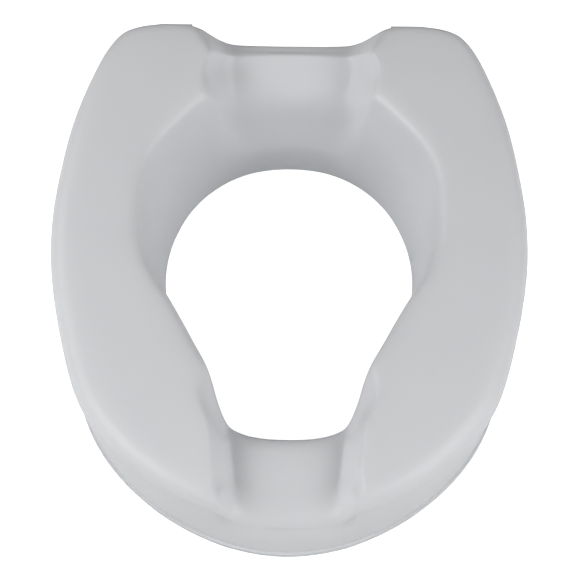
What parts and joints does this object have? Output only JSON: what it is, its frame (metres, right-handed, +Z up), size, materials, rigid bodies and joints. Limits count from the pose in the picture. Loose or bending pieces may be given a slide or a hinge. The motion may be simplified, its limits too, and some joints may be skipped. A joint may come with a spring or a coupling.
{
  "type": "raised toilet seat",
  "caption": "Moulded raised toilet seat without a lid, with front and rear hygiene recesses, a spigot, a base ring and knob-operated rim clamps.",
  "frame": {"origin": "middle of the seat in plan (bounding box), at the level of the spigot's bottom edge", "axes": "+Y to the rear of the seat (hinge lugs), +Z up, +X to the right seen from the front"},
  "size_m": [0.3694, 0.4241, 0.13],
  "materials": {
    "white_polypropylene": "satin moulded polypropylene, pale grey-white",
    "grey_plastic": "moulded polypropylene, light grey",
    "acetal": "natural acetal",
    "grey_rubber": "moulded thermoplastic rubber, grey",
    "stainless_steel": "plain stainless steel",
    "brass": "turned brass"
  },
  "bodies": {
    "seat": {"seat_shell": "white_polypropylene", "base_ring": "white_polypropylene", "base_screws": "stainless_steel", "buffer_front_left": "grey_rubber", "buffer_front_right": "grey_rubber", "buffer_rear_left": "grey_rubber", "buffer_rear_right": "grey_rubber", "screw_bush_left": "acetal", "screw_bush_right": "acetal", "thrust_washer_left": "stainless_steel", "thrust_washer_right": "stainless_steel"},
    "jaw_left": {"clamp_jaw_left": "white_polypropylene", "jaw_nut_left": "brass", "jaw_pad_left": "grey_rubber", "pad_rivet_left": "stainless_steel"},
    "screw_left": {"clamp_screw_left": "stainless_steel", "retaining_clip_left": "stainless_steel", "clamp_knob_left": "grey_plastic", "knob_pin_left": "stainless_steel", "knob_cap_left": "grey_plastic"},
    "jaw_right": {"clamp_jaw_right": "white_polypropylene", "jaw_nut_right": "brass", "jaw_pad_right": "grey_rubber", "pad_rivet_right": "stainless_steel"},
    "screw_right": {"clamp_screw_right": "stainless_steel", "retaining_clip_right": "stainless_steel", "clamp_knob_right": "grey_plastic", "knob_pin_right": "stainless_steel", "knob_cap_right": "grey_plastic"}
  },
  "joints": [
    {"name": "knob_left_turn", "type": "hinge", "parent": "seat", "child": "screw_left", "pos_m": [-0.176, -0.00161, 0.064], "axis": [1, 0, 0], "range_deg": [0, 1080.6]},
    {"name": "jaw_left_slide", "type": "slide", "parent": "seat", "child": "jaw_left", "axis": [-1, 0, 0], "range_m": [0, 0.018]},
    {"name": "knob_right_turn", "type": "hinge", "parent": "seat", "child": "screw_right", "pos_m": [0.176, -0.00161, 0.064], "axis": [-1, 0, 0], "range_deg": [0, 1080.6]},
    {"name": "jaw_right_slide", "type": "slide", "parent": "seat", "child": "jaw_right", "axis": [1, 0, 0], "range_m": [0, 0.018]}
  ],
  "couplings": [
    {"joint": "knob_left_turn", "follows": "jaw_left_slide", "rad_per_m": 1047.2},
    {"joint": "knob_right_turn", "follows": "jaw_right_slide", "rad_per_m": 1047.2}
  ]
}
